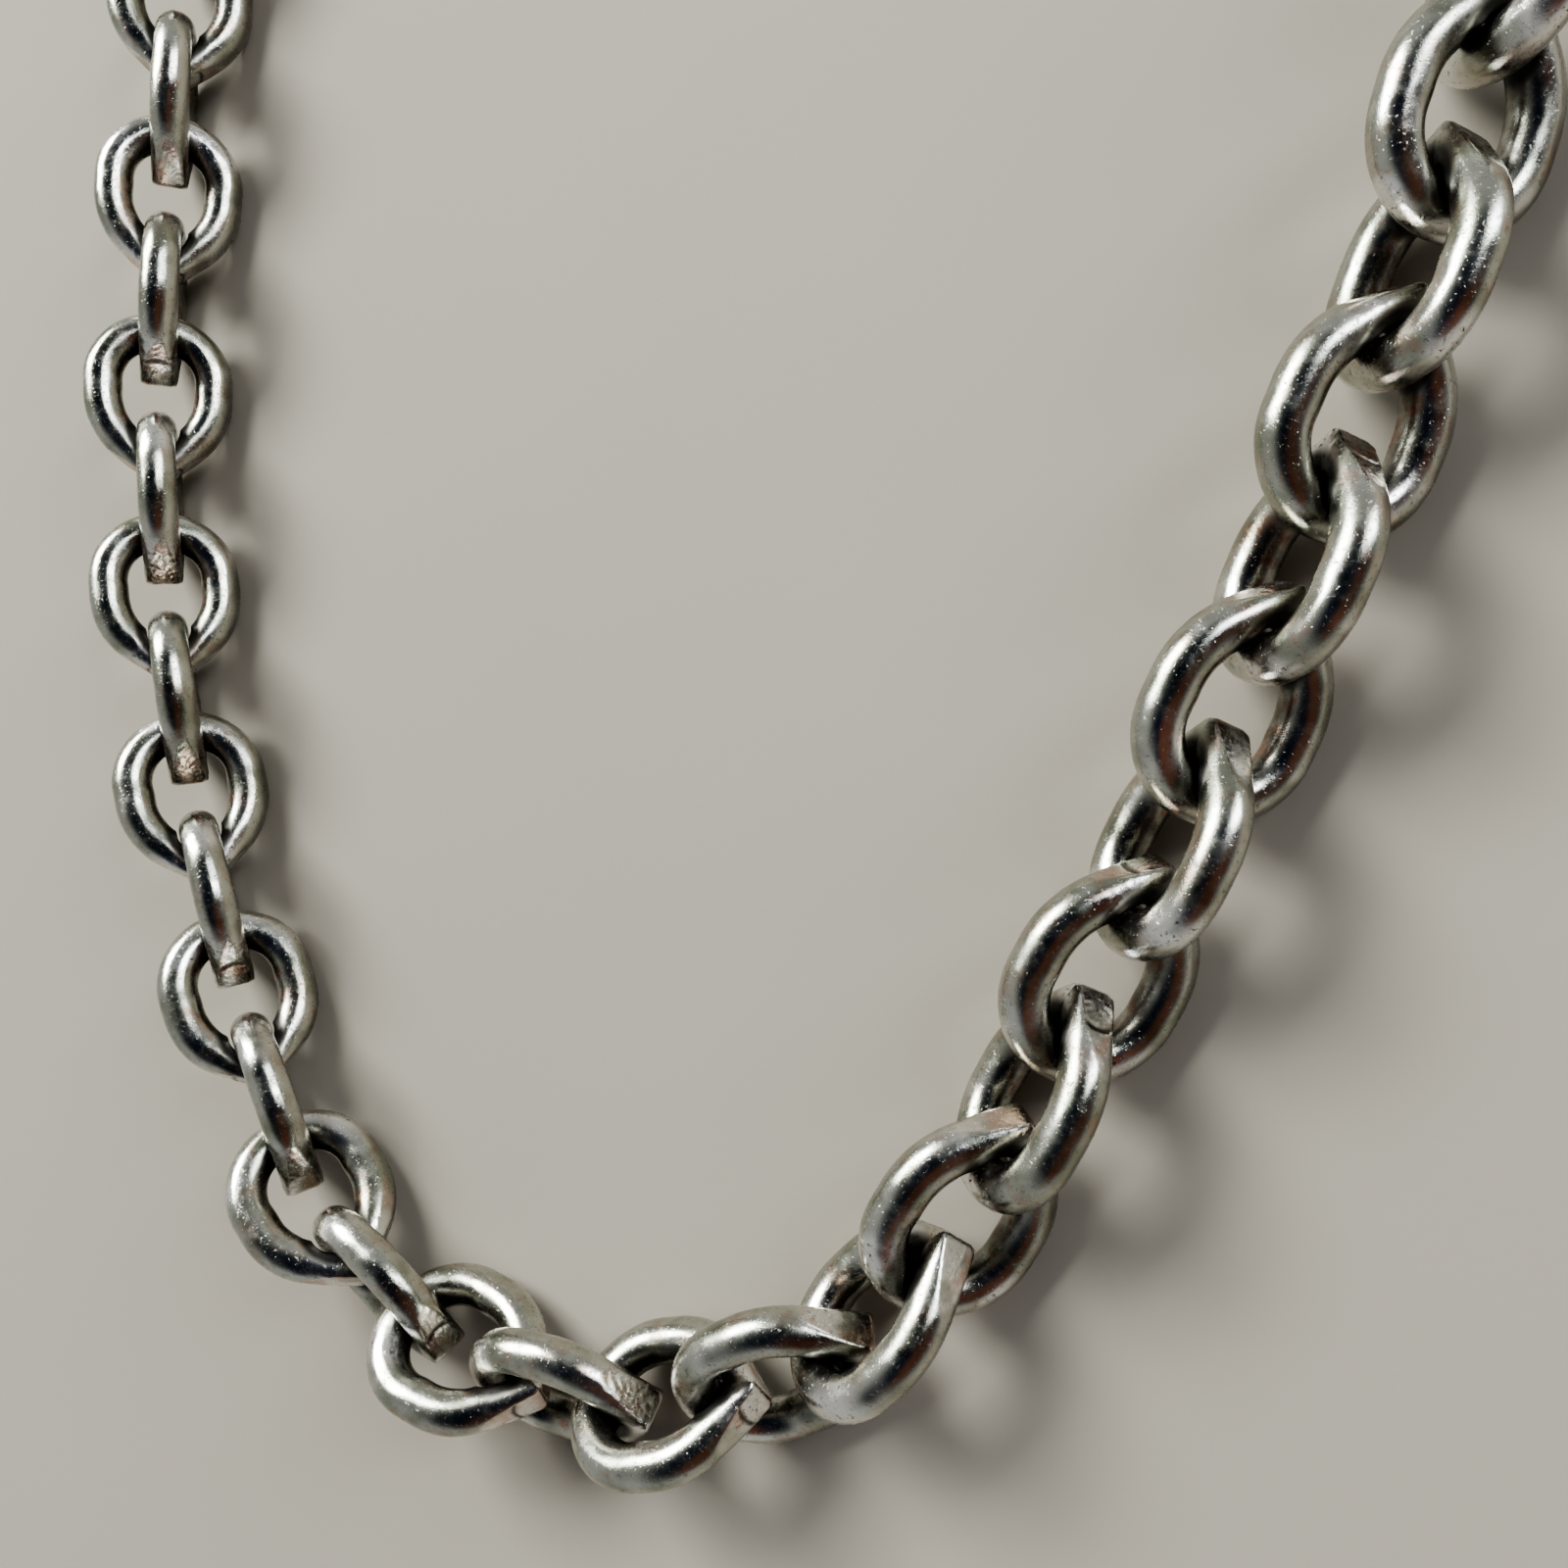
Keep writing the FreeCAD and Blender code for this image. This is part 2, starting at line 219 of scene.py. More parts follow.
def half_surface():
    """The wire of one half as rings of points, with how much each point was filed."""
    path, along, arm_start = half_path()
    arm_along = np.array((math.cos(V_HALF_ANGLE), -math.sin(V_HALF_ANGLE)))
    angles = 2 * math.pi * np.arange(AROUND) / AROUND
    outward = np.cos(angles)        # towards the outside of the ring
    upward = np.sin(angles)

    def ring(centre, direction, radii):
        normal = np.array((-direction[1], direction[0]))
        flat = centre + (outward * radii)[:, None] * normal
        return np.column_stack((flat, upward * radii))

    full = np.full(AROUND, WIRE_RADIUS)
    rings = [ring(c, d, full) for c, d in zip(path, along)]
    normal = np.array((-arm_along[1], arm_along[0]))
    facet_normal = np.array((math.sin(FACET_ANGLE), math.cos(FACET_ANGLE)))
    lean = outward * (normal @ facet_normal)
    reach = np.full(AROUND, (LINK_LENGTH / 2 - arm_start[0]) / arm_along[0])
    filed = [np.zeros(AROUND) for _ in rings]
    for step in range(ARM_STEPS + 1):
        share = step / ARM_STEPS
        radii = full.copy()
        for _ in range(MITRE_ROUNDS):
            reach_here = share * reach
            centre = arm_start + reach_here[:, None] * arm_along
            outside = facet_depth(np.column_stack((centre, np.zeros(AROUND))))
            limit = np.where(lean > LEAST_LEAN, -outside / np.maximum(lean, LEAST_LEAN), UNCUT)
            radii = soft_min(full, np.maximum(limit, THINNEST), EDGE_SOFTNESS)
            flat_y = arm_start[1] + outward * radii * normal[1]
            reach = flat_y / -arm_along[1]
        centre = arm_start + (share * reach)[:, None] * arm_along
        flat = centre + (outward * radii)[:, None] * normal
        rings.append(np.column_stack((flat, upward * radii)))
        filed.append(smooth_step(0.01, 0.08, WIRE_RADIUS - radii))
    return np.array(rings), np.array(filed)


def nested(points):
    """The points moved out of the groove that the next link's wire has worn in the V."""
    centre_x = LINK_LENGTH / 2 - NEST_DEPTH + END_RADIUS
    from_centre = points - np.array((centre_x, 0, 0))
    in_plane = np.sqrt(from_centre[..., 0] ** 2 + from_centre[..., 2] ** 2)
    circle = from_centre.copy()
    circle[..., 1] = 0
    circle = circle * (END_RADIUS / np.maximum(in_plane, 1e-6))[..., None]
    away = from_centre - circle
    distance = np.linalg.norm(away, axis=-1)
    wanted = WIRE_RADIUS + NEST_CLEARANCE
    inside = distance < wanted
    push = np.where(inside, wanted / np.maximum(distance, 1e-6), 1.0)
    moved = circle + away * push[..., None] + np.array((centre_x, 0, 0))
    return np.where(inside[..., None], moved, points), distance - WIRE_RADIUS


def blunted(loop):
    """The ridge of the V with its sharp edge and its two corners worn round."""
    ridge = LINK_LENGTH / 2 + RIDGE_REACH
    corner = CORNER_ROUNDING * smooth_step(0.88, 1.32, np.abs(loop[..., 2]))
    limit = ridge - RIDGE_BLUNTING - corner
    worn = loop.copy()
    worn[..., 0] = soft_min(loop[..., 0], limit, RIDGE_ROUNDING)
    return worn


def link_grid():
    """The whole link as a closed loop of rings, with per-point measures for the material."""
    half, filed = half_surface()
    mirrored = half * np.array((1, -1, 1))
    loop = blunted(np.concatenate((half, mirrored[::-1][1:-1])))
    filed = np.concatenate((filed, filed[::-1][1:-1]))
    loop, nest_gap = nested(loop)
    return loop, filed, nest_gap


def ring_normals(loop):
    """The outward direction at each point of a closed grid."""
    forward = np.roll(loop, -1, axis=0) - np.roll(loop, 1, axis=0)
    around = np.roll(loop, -1, axis=1) - np.roll(loop, 1, axis=1)
    normal = np.cross(around, forward)
    normal /= np.maximum(np.linalg.norm(normal, axis=-1, keepdims=True), 1e-9)
    middle = loop.mean(axis=1, keepdims=True)
    flip = np.sign(np.sum(normal * (loop - middle), axis=-1).mean())
    return normal * flip


def roughened(loop, filed, nest_gap, seed):
    """Dents, ripples and speckle of hand work, the seam across a filed face, and blobs of solder.

    Where two links meet, all of this only goes inwards, so that they stay clear when they swing.
    """
    rng = np.random.default_rng(seed)
    normal = ring_normals(loop)
    ends = np.maximum(smooth_step(2.5, 5.5, loop[..., 0]), smooth_step(-1.5, -4.0, loop[..., 0]))
    height = DENT_DEPTH * value_noise(loop, DENT_SIZE, seed) * (1 - 0.7 * filed)
    slant = rng.uniform(-0.5, 0.5)
    stroke = (loop[..., 2] + slant * loop[..., 0]) / FILE_MARK_SPACING
    wander = value_noise(loop, FILE_MARK_WANDER, seed + 5)
    height += FILE_MARK_DEPTH * filed * np.sin(2 * math.pi * (stroke + 0.5 * wander))
    height += RIPPLE_DEPTH * value_noise(loop, RIPPLE_SIZE, seed + 1) * (1 - 0.5 * filed)
    patch = smooth_step(-0.1, 0.5, value_noise(loop, PATCH_SIZE, seed + 2)) * ends
    speckle = value_noise(loop, SPECKLE_SIZE, seed + 3) + 0.6 * value_noise(loop, GRIT_SIZE, seed + 4)
    height += SPECKLE_DEPTH * speckle * patch
    side = 1.0 if rng.random() < 0.5 else -1.0
    seam_x = LINK_LENGTH / 2 + RIDGE_REACH - rng.uniform(1.0, 1.6)
    bow = rng.uniform(0.10, 0.22)
    seam_line = seam_x + bow * loop[..., 2] ** 2
    on_side = smooth_step(0.1, 0.4, side * loop[..., 1])
    across = (loop[..., 0] - seam_line) / SEAM_WIDTH
    seam = np.exp(-across ** 2) * on_side * filed
    height -= SEAM_DEPTH * seam
    for _ in range(int(rng.integers(2, 6))):
        spot = loop[int(rng.integers(0, len(loop))), int(rng.integers(0, AROUND))]
        near_tip = spot[0] > 1.0
        size = rng.uniform(0.22, 0.5)
        gap = np.linalg.norm(loop - spot, axis=-1) / size
        height += (BLOB_HEIGHT if near_tip else 0.3 * BLOB_HEIGHT) * size * np.exp(-gap ** 2)
    inside_end = smooth_step(-1.0, -2.2, loop[..., 0]) * smooth_step(-0.5, -0.1, inner_side(loop))
    meeting = np.maximum(inside_end, smooth_step(1.1, 0.7, nest_gap))
    height += meeting * (np.minimum(height, 0) - SWING_ROOM - height)
    return loop + normal * height[..., None], patch, seam


def link_frame(tip_point, y_axis, centroid):
    """The matrix from a link's own drawing to the row frame: X towards the V, Z square to the ring."""
    x = (tip_point - centroid).normalized()
    y = (y_axis - x * y_axis.dot(x)).normalized()
    z = x.cross(y)
    centre = tip_point - x * (LINK_LENGTH / 2 * MM)
    return Matrix(((x.x, y.x, z.x, centre.x), (x.y, y.y, z.y, centre.y),
                   (x.z, y.z, z.z, centre.z), (0, 0, 0, 1)))


def area_centroid(obj):
    """The middle of a mesh's surface, so that uneven spacing of its points doesn't matter."""
    mesh = obj.data
    areas = np.empty(len(mesh.polygons))
    centres = np.empty(len(mesh.polygons) * 3)
    mesh.polygons.foreach_get("area", areas)
    mesh.polygons.foreach_get("center", centres)
    centres = centres.reshape(-1, 3)
    return Vector((centres * areas[:, None]).sum(axis=0) / areas.sum())


def tips_and_axes(joints):
    """Each link's V point and Y axis, which the hinge in its V gives."""
    found = {}
    for joint in joints:
        child, parent = joint["child"], joint["parent"]
        if joint["name"] == "hinge_end_ring" or child.startswith("link_right"):
            found[parent] = (Vector(joint["pos_m"]), Vector(joint["axis"]))
        if child.startswith("link_left"):
            found[child] = (Vector(joint["pos_m"]), Vector(joint["axis"]))
    return found


def grid_mesh(name, loop, layers):
    """A closed tube mesh from a loop of rings, with one float attribute per layer."""
    count, around = loop.shape[:2]
    index = np.arange(count * around).reshape(count, around)
    a = index
    b = np.roll(index, -1, axis=1)
    c = np.roll(b, -1, axis=0)
    d = np.roll(index, -1, axis=0)
    faces = np.stack((a, b, c, d), axis=-1).reshape(-1, 4)
    mesh = bpy.data.meshes.new(name)
    mesh.from_pydata(loop.reshape(-1, 3).tolist(), [], faces.tolist())
    for key, values in layers.items():
        attribute = mesh.attributes.new(key, "FLOAT", "POINT")
        attribute.data.foreach_set("value", np.ascontiguousarray(values, np.float32).ravel())
    mesh.shade_smooth()
    mesh.update()
    return mesh


def outward_faces(mesh):
    """Turns the faces outwards if they enclose a negative volume."""
    mesh.calc_loop_triangles()
    corners = np.array([v.co for v in mesh.vertices])
    triangles = np.array([t.vertices[:] for t in mesh.loop_triangles])
    p, q, r = (corners[triangles[:, i]] for i in range(3))
    if np.sum(p * np.cross(q, r)) < 0:
        mesh.flip_normals()


def add_piece(name, mesh, body, node, material):
    piece = bpy.data.objects.new(name, mesh)
    bpy.context.scene.collection.objects.link(piece)
    mesh.materials.append(material)
    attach(piece, body)
    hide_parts(node)
    return piece


def make_link(node, tip_and_axis, seed, material):
    centroid = area_centroid(frame["nodes"][node])
    matrix = np.array(link_frame(*tip_and_axis, centroid))
    loop, filed, nest_gap = link_grid()
    loop, patch, seam = roughened(loop, filed, nest_gap, seed)
    inner = smooth_step(0.3, 1.0, inner_side(loop))
    # nearness to the next link: it carries a painted shade, nearly black, and rougher wear in the material
    nest_shade_and_wear = 1 - smooth_step(0.2, 1.6, nest_gap)
    placed = (loop * MM) @ matrix[:3, :3].T + matrix[:3, 3]
    layers = {"filed": filed, "rough_patch": patch, "seam": seam, "inner": inner, "nest_shade_and_wear": nest_shade_and_wear}
    mesh = grid_mesh(node + "_silver", placed, layers)
    outward_faces(mesh)
    return add_piece(node + "_silver", mesh, node, node, material)


def main_axes(node):
    """The centre of a CAD node, its points from there, and its directions from longest to shortest."""
    points = np.array([v.co for v in frame["nodes"][node].data.vertices]) / MM
    centre = np.array(area_centroid(frame["nodes"][node])) / MM
    away = points - centre
    axes = np.linalg.svd(away, full_matrices=False)[2]
    largest = axes[np.arange(3), np.abs(axes).argmax(axis=1)]
    return centre, away, axes * np.sign(largest)[:, None]


def make_ring(node, seed, material):
    """A ring of round wire, bent by hand, whose two ends meet a little out of line and are soldered."""
    centre, away, axes = main_axes(node)
    z_axis = axes[2]
    x_axis = np.cross(z_axis, (0.0, 0.0, 1.0))
    x_axis /= np.linalg.norm(x_axis)
    y_axis = np.cross(z_axis, x_axis)
    flat = np.linalg.norm(away - np.outer(away @ z_axis, z_axis), axis=1)
    radius, wire = (flat.max() + flat.min()) / 2, (flat.max() - flat.min()) / 2
    turn = 2 * math.pi * np.arange(RING_STEPS) / RING_STEPS
    around = 2 * math.pi * np.arange(AROUND) / AROUND
    out = radius + wire * np.cos(around)
    loop = np.stack((np.outer(np.cos(turn), out), np.outer(np.sin(turn), out),
                     np.outer(np.ones(RING_STEPS), wire * np.sin(around))), axis=-1)
    along = radius * ((turn + math.pi) % (2 * math.pi) - math.pi)[:, None]
    height = 0.5 * DENT_DEPTH * (value_noise(loop, RING_DENT_SIZE, seed) - 1)
    height += RIPPLE_DEPTH * (value_noise(loop, RING_RIPPLE_SIZE, seed + 1) - 1)
    cut = np.exp(-(along / RING_CUT_WIDTH) ** 2) + 0 * height
    lumps = smooth_step(-0.2, 0.8, value_noise(loop, RING_BEAD_SIZE, seed + 2))
    bead = np.exp(-(along / RING_BEAD_LENGTH) ** 2) * lumps
    height += RING_BEAD_HEIGHT * bead - SEAM_DEPTH * cut
    slip = RING_SLIP * smooth_step(-0.05, 0.05, along) * smooth_step(1.2, 0.3, np.abs(along))
    loop = loop + ring_normals(loop) * height[..., None] - slip[..., None] * np.array((0, 0, 1.0))
    placed = (loop @ np.array((x_axis, y_axis, z_axis)) + centre) * MM
    none = np.zeros_like(height)
    layers = {"seam": cut, "rough_patch": 0.6 * bead, "filed": none, "nest_shade_and_wear": none,
              "inner": smooth_step(0.2, 1.0, -np.cos(around)) + none}
    ring = grid_mesh(node + "_silver", placed, layers)
    outward_faces(ring)
    return add_piece(node + "_silver", ring, node, node, material)


def make_cast(node, seed, material):
    """A cast part: its CAD shape with every edge softened, a grainy skin and dents from use."""
    shape = bpy.data.objects.new(node + "_shape", frame["nodes"][node].data.copy())
    bpy.context.scene.collection.objects.link(shape)
    remesh = shape.modifiers.new("remesh", "REMESH")
    remesh.mode = "VOXEL"
    remesh.voxel_size = CAST_GRAIN * MM
    soften = shape.modifiers.new("soften", "SMOOTH")
    soften.factor = 0.5
    soften.iterations = CAST_SOFTENING
    evaluated = shape.evaluated_get(bpy.context.evaluated_depsgraph_get())
    mesh = bpy.data.meshes.new_from_object(evaluated)
    bpy.data.objects.remove(shape)
    points = np.array([v.co for v in mesh.vertices]) / MM
    normals = np.array([v.normal for v in mesh.vertices])
    height = CAST_DENT_DEPTH * (value_noise(points, CAST_DENT_SIZE, seed) - 1)
    height += CAST_SKIN_DEPTH * (value_noise(points, CAST_SKIN_SIZE, seed + 1) - 1)
    height -= CAST_PIT_DEPTH * smooth_step(0.62, 0.85, value_noise(points, CAST_PIT_SIZE, seed + 2))
    points += normals * height[:, None]
    mesh.vertices.foreach_set("co", (points * MM).ravel())
    mesh.materials.clear()
    mesh.shade_smooth()
    mesh.name = node + "_cast"
    return add_piece(node + "_cast", mesh, CAST_BODIES[node], node, material)


def make_rivet(node, material):
    """The clasp's pin, hammered over into a low dome at each end."""
    centre, away, axes = main_axes(node)
    axis = axes[0]
    side = np.cross(axis, (0.0, 1.0, 0.0))
    side /= np.linalg.norm(side)
    across = np.cross(axis, side)
    half = np.abs(away @ axis).max() + RIVET_RECESS
    shank = np.linalg.norm(away - np.outer(away @ axis, axis), axis=1).max()
    dome = [(RIVET_HEAD * math.sin(a), half + RIVET_RISE * math.cos(a))
            for a in np.linspace(RIVET_FLAT, math.pi / 2, RIVET_DOME_STEPS)]
    neck = [(RIVET_HEAD * 0.97, half), (shank, half - 0.02)]
    profile = dome + neck + [(r, -z) for r, z in reversed(dome + neck)]
    turn = 2 * math.pi * np.arange(AROUND) / AROUND
    rings = [centre + axis * z + r * (np.outer(np.cos(turn), side) + np.outer(np.sin(turn), across))
             for r, z in profile]
    points = np.concatenate(rings) * MM
    faces = []
    for row in range(len(profile) - 1):
        for i in range(AROUND):
            j = (i + 1) % AROUND
            faces.append((row * AROUND + i, row * AROUND + j,
                          (row + 1) * AROUND + j, (row + 1) * AROUND + i))
    faces.append(tuple(range(AROUND))[::-1])
    faces.append(tuple(range(len(points) - AROUND, len(points))))
    mesh = bpy.data.meshes.new(node + "_rivet")
    mesh.from_pydata(points.tolist(), [], faces)
    mesh.shade_smooth()
    mesh.update()
    outward_faces(mesh)
    return add_piece(node + "_rivet", mesh, "clasp", node, material)


def inner_side(loop):
    """From -1 on the outside of the ring to 1 on its inside."""
    middle = loop.mean(axis=1, keepdims=True)
    toward = -middle[..., :2]
    toward = toward / np.maximum(np.linalg.norm(toward, axis=-1, keepdims=True), 1e-6)
    offset = loop - middle
    return np.sum(offset[..., :2] * toward, axis=-1) / WIRE_RADIUS


# ---- materials -----------------------------------------------------------------------------------

class Nodes:
    """Short ways to write a node tree."""

    def __init__(self, tree):
        self.tree = tree
        self.tree.nodes.clear()

    def link(self, source, target):
        self.tree.links.new(source, target)

    def feed(self, socket, value):
        if isinstance(value, bpy.types.NodeSocket):
            self.link(value, socket)
        else:
            socket.default_value = value

    def place(self, scale=(1, 1, 1)):
        """Object coordinates in millimetres, stretched by a scale."""
        coordinates = self.tree.nodes.new("ShaderNodeTexCoord")
        mapping = self.tree.nodes.new("ShaderNodeMapping")
        mapping.inputs["Scale"].default_value = [s / MM for s in scale]
        self.link(coordinates.outputs["Object"], mapping.inputs["Vector"])
        return mapping.outputs["Vector"]

    def noise(self, vector, size, detail=4.0, roughness=0.55):
        """Noise from 0 to 1 with features about one size across, in millimetres."""
        node = self.tree.nodes.new("ShaderNodeTexNoise")
        node.inputs["Scale"].default_value = 1 / size
        node.inputs["Detail"].default_value = detail
        node.inputs["Roughness"].default_value = roughness
        self.link(vector, node.inputs["Vector"])
        return node.outputs["Fac"]

    def attribute(self, name):
        node = self.tree.nodes.new("ShaderNodeAttribute")
        node.attribute_name = name
        return node.outputs["Fac"]

    def math(self, operation, first, second=0.0):
        node = self.tree.nodes.new("ShaderNodeMath")
        node.operation = operation
        self.feed(node.inputs[0], first)
        self.feed(node.inputs[1], second)
        return node.outputs[0]

    def span(self, value, low, high, out_low=0.0, out_high=1.0):
        """The value carried from one range to another, and held at its ends."""
        node = self.tree.nodes.new("ShaderNodeMapRange")
        node.interpolation_type = "SMOOTHSTEP"
        for socket, setting in zip(node.inputs, (value, low, high, out_low, out_high)):
            self.feed(socket, setting)
        return node.outputs["Result"]

    def mix(self, share, first, second):
        node = self.tree.nodes.new("ShaderNodeMix")
        node.data_type = "RGBA"
        self.feed(node.inputs["Factor"], share)
        self.feed(node.inputs[6], first)
        self.feed(node.inputs[7], second)
        return node.outputs[2]

    def toward(self, vector, direction):
        """The cosine of the angle between a vector and a fixed direction."""
        node = self.tree.nodes.new("ShaderNodeVectorMath")
        node.operation = "DOT_PRODUCT"
        node.inputs[1].default_value = Vector(direction).normalized()
        self.link(vector, node.inputs[0])
        return node.outputs["Value"]

    def bump(self, height, strength, distance, normal=None):
        node = self.tree.nodes.new("ShaderNodeBump")
        node.inputs["Strength"].default_value = strength
        node.inputs["Distance"].default_value = distance * MM
        self.link(height, node.inputs["Height"])
        if normal is not None:
            self.link(normal, node.inputs["Normal"])
        return node.outputs["Normal"]


class Shader(Nodes):
    """A material of one Principled shader."""

    def __init__(self, name, **plain):
        self.material = bpy.data.materials.new(name)
        self.material.use_nodes = True
        super().__init__(self.material.node_tree)
        self.surface = self.tree.nodes.new("ShaderNodeBsdfPrincipled")
        output = self.tree.nodes.new("ShaderNodeOutputMaterial")
        self.link(self.surface.outputs[0], output.inputs["Surface"])
        for socket, value in plain.items():
            self.surface.inputs[socket.replace("_", " ")].default_value = value


# ---- colours, as linear red, green, blue, alpha ---------------------------------------------------
SILVER = (0.52, 0.525, 0.475, 1)
GREENISH_SILVER = (0.30, 0.313, 0.250, 1)
COPPER = (0.44, 0.21, 0.135, 1)
# dark brown-grey of tarnish spots, also used as painted shade on the inside of each loop
TARNISH_AND_SHADE = (0.10, 0.088, 0.072, 1)
# near black of the solder seams, also used as painted shade where the next link nests
OXIDE_AND_SHADE = (0.022, 0.020, 0.019, 1)
FRESH_FACE = (0.90, 0.885, 0.86, 1)
PINK_PLATE = (0.56, 0.38, 0.31, 1)
SPRING_DARK = (0.42, 0.41, 0.40, 1)
SPRING_LIGHT = (0.58, 0.57, 0.55, 1)
TABLE_DARK = (0.412, 0.382, 0.330, 1)
TABLE_LIGHT = (0.447, 0.414, 0.358, 1)
PALE_ROOM = (0.45, 0.456, 0.448, 1)
NAVY_DARK = (0.014, 0.021, 0.038, 1)
BROWN_CORNER = (0.17, 0.075, 0.045, 1)


def silver_material():
    """Silver plate: polished bright, yellowed and greyed in clouds, worn to copper, with painted shade:
    nearly black where the next link nests, and darker with some tarnish on the inside of each loop.
    """
    s = Shader("tarnished_silver", Metallic=1.0)
    here = s.place()
    clouds = s.span(s.noise(here, 3.2, 3.0), 0.40, 0.68)
    warm = s.span(s.noise(s.place((1, 1, 1.3)), 2.1, 6.0, 0.65), 0.50, 0.66)
    freckle = s.span(s.noise(here, 0.35, 5.0, 0.65), 0.56, 0.70)
    filed = s.attribute("filed")
    bare = s.span(s.noise(here, 2.6, 2.0), 0.42, 0.56, 0.05, 0.75)
    patch = s.attribute("rough_patch")
    inner = s.attribute("inner")
    nest_shade_and_wear = s.attribute("nest_shade_and_wear")
    seam = s.attribute("seam")
    colour = s.mix(s.math("MULTIPLY", clouds, 0.85), SILVER, GREENISH_SILVER)
    colour = s.mix(s.math("MULTIPLY", warm, s.span(inner, 0.0, 1.0, 0.30, 0.95)), colour, COPPER)
    colour = s.mix(s.math("MULTIPLY", patch, 0.75), colour, FRESH_FACE)
    colour = s.mix(s.math("MULTIPLY", filed, bare), colour, FRESH_FACE)
    blush = s.span(s.noise(here, 2.4, 3.0), 0.46, 0.60, 0.0, 0.65)
    colour = s.mix(s.math("MULTIPLY", filed, blush), colour, PINK_PLATE)
    plain_spots = s.math("MULTIPLY", freckle, s.span(filed, 0.0, 1.0, 0.45, 0.15))
    spots = s.math("MAXIMUM", plain_spots, s.math("MULTIPLY", freckle, patch))
    colour = s.mix(spots, colour, TARNISH_AND_SHADE)
    # partly real tarnish, partly painted shade: the inside of each loop is darkened in clouds
    inner_shade_and_tarnish = s.math("MULTIPLY", inner, s.span(s.noise(here, 1.5, 4.0), 0.30, 0.66, 0.20, 0.85))
    colour = s.mix(inner_shade_and_tarnish, colour, TARNISH_AND_SHADE)
    # painted shade: nearly black where the next link nests in the V; the seam below is a real dark joint
    colour = s.mix(s.span(nest_shade_and_wear, 0.15, 0.8, 0.0, 0.92), colour, OXIDE_AND_SHADE)
    colour = s.mix(s.math("MULTIPLY", seam, 0.9), colour, OXIDE_AND_SHADE)
    s.link(colour, s.surface.inputs["Base Color"])
    smear = s.span(s.noise(here, 1.4, 6.0, 0.7), 0.35, 0.70, 0.15, 0.32)
    rough = s.math("ADD", smear, s.math("MULTIPLY", freckle, 0.10))
    rough = s.math("ADD", rough, s.math("MULTIPLY", nest_shade_and_wear, 0.25))
    s.link(rough, s.surface.inputs["Roughness"])
    scratches = s.noise(s.place((1.0, 7.0, 1.0)), 0.25, 4.0, 0.7)
    crossing = s.noise(s.place((6.0, 1.0, 1.0)), 0.25, 4.0, 0.7)
    fine = s.math("ADD", scratches, crossing)
    normal = s.bump(fine, 0.35, 0.012)
    pits = s.span(s.noise(here, 0.22, 3.0), 0.60, 0.80)
    normal = s.bump(s.math("MULTIPLY", pits, -1.0), 0.6, 0.03, normal)
    s.link(normal, s.surface.inputs["Normal"])
    return s.material


def clasp_material():
    """Cast and plated: satin, finely grained, clouded greenish, with some copper and spots of tarnish."""
    s = Shader("cast_silver", Metallic=1.0)
    here = s.place()
    clouds = s.span(s.noise(here, 2.4, 4.0), 0.38, 0.68)
    warm = s.span(s.noise(here, 1.7, 5.0), 0.60, 0.76)
    colour = s.mix(s.math("MULTIPLY", clouds, 0.6), SILVER, GREENISH_SILVER)
    colour = s.mix(s.math("MULTIPLY", warm, 0.5), colour, COPPER)
    grime = s.span(s.noise(here, 0.5, 5.0, 0.65), 0.55, 0.72, 0.0, 0.5)
    colour = s.mix(grime, colour, TARNISH_AND_SHADE)
    s.link(colour, s.surface.inputs["Base Color"])
    s.link(s.span(s.noise(here, 0.9, 5.0), 0.35, 0.7, 0.20, 0.38), s.surface.inputs["Roughness"])
    s.link(s.bump(s.noise(here, 0.14, 4.0), 0.4, 0.02), s.surface.inputs["Normal"])
    return s.material


def spring_material():
    """Drawn spring wire: darker, even, with fine lines."""
    s = Shader("spring_wire", Metallic=1.0)
    here = s.place((1, 5, 1))
    colour = s.mix(s.noise(here, 0.2), SPRING_DARK, SPRING_LIGHT)
    s.link(colour, s.surface.inputs["Base Color"])
    s.link(s.span(s.noise(here, 0.3), 0.3, 0.7, 0.22, 0.40), s.surface.inputs["Roughness"])
    s.link(s.bump(s.noise(here, 0.08), 0.3, 0.01), s.surface.inputs["Normal"])
    return s.material


def floor_material():
    """A pale, plain, matt table top."""
    s = Shader("pale_table", Roughness=0.85)
    here = s.place()
    colour = s.mix(s.noise(here, 60.0, 3.0), TABLE_DARK, TABLE_LIGHT)
    s.link(colour, s.surface.inputs["Base Color"])
    s.link(s.bump(s.noise(here, 0.7, 4.0), 0.15, 0.05), s.surface.inputs["Normal"])
    return s.material


# ---- stage ---------------------------------------------------------------------------------------

def make_floor():
    mesh = bpy.data.meshes.new("floor")
    rim = [(FLOOR_RADIUS * math.cos(2 * math.pi * i / FLOOR_CORNERS),
            FLOOR_RADIUS * math.sin(2 * math.pi * i / FLOOR_CORNERS), 0.0) for i in range(FLOOR_CORNERS)]
    mesh.from_pydata(rim, [], [list(range(FLOOR_CORNERS))])
    mesh.materials.append(floor_material())
    floor = bpy.data.objects.new("floor", mesh)
    bpy.context.scene.collection.objects.link(floor)


def look_at(position, target, up):
    """A camera or light placed at a position, looking at a target."""
    back = (position - target).normalized()
    right = up.cross(back).normalized()
    level = back.cross(right)
    return Matrix(((right.x, level.x, back.x, position.x), (right.y, level.y, back.y, position.y),
                   (right.z, level.z, back.z, position.z), (0, 0, 0, 1)))


